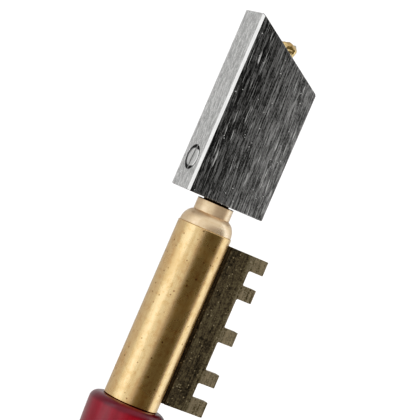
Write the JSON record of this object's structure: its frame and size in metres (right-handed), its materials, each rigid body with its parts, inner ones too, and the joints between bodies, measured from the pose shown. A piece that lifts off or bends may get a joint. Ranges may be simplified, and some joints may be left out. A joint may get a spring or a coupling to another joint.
{
  "type": "glass cutter",
  "caption": "Hand glass cutter with a swivelling rhomboid steel head holding a diamond, a brass ferrule with a notched breaking comb, and a turned red wooden handle.",
  "frame": {"origin": "on the tool's axis, in the middle of the handle's straight grip", "axes": "+X along the tool towards the head, +Z square to the head's wide face, -Y towards the teeth of the comb; the guide face looks along +Y"},
  "size_m": [0.1753, 0.0208, 0.0152],
  "materials": {
    "handle_lacquer": "turned hardwood under glossy deep red lacquer",
    "ferrule_brass": "polished drawn tube",
    "pin_brass": "filed flush",
    "bush_brass": "bright turned",
    "stem_brass": "bright turned",
    "nut_brass": "as cut",
    "comb_bronze": "dark olive brown patina, filed teeth",
    "head_steel": "ground lengthways, bright chamfers",
    "screw_steel": "filed flush with the guide face",
    "setting_brass": "filed facets",
    "solder": "dull grey soft solder",
    "diamond": "natural crystal faces"
  },
  "bodies": {
    "handle_and_ferrule": {"handle": "handle_lacquer", "ferrule_tube": "ferrule_brass", "ferrule_pin": "pin_brass", "ferrule_bush": "bush_brass", "swivel_stem": "stem_brass", "stem_nut": "nut_brass", "breaker_comb": "comb_bronze"},
    "swivel_head": {"head_block": "head_steel", "head_screw": "screw_steel", "diamond_setting": "setting_brass", "setting_solder": "solder", "diamond_point": "diamond"}
  },
  "joints": [
    {"name": "head_swivel", "type": "hinge", "parent": "handle_and_ferrule", "child": "swivel_head", "pos_m": [0.1061, 0, 0], "axis": [1, 0, 0], "range_deg": [-20, 20]}
  ]
}
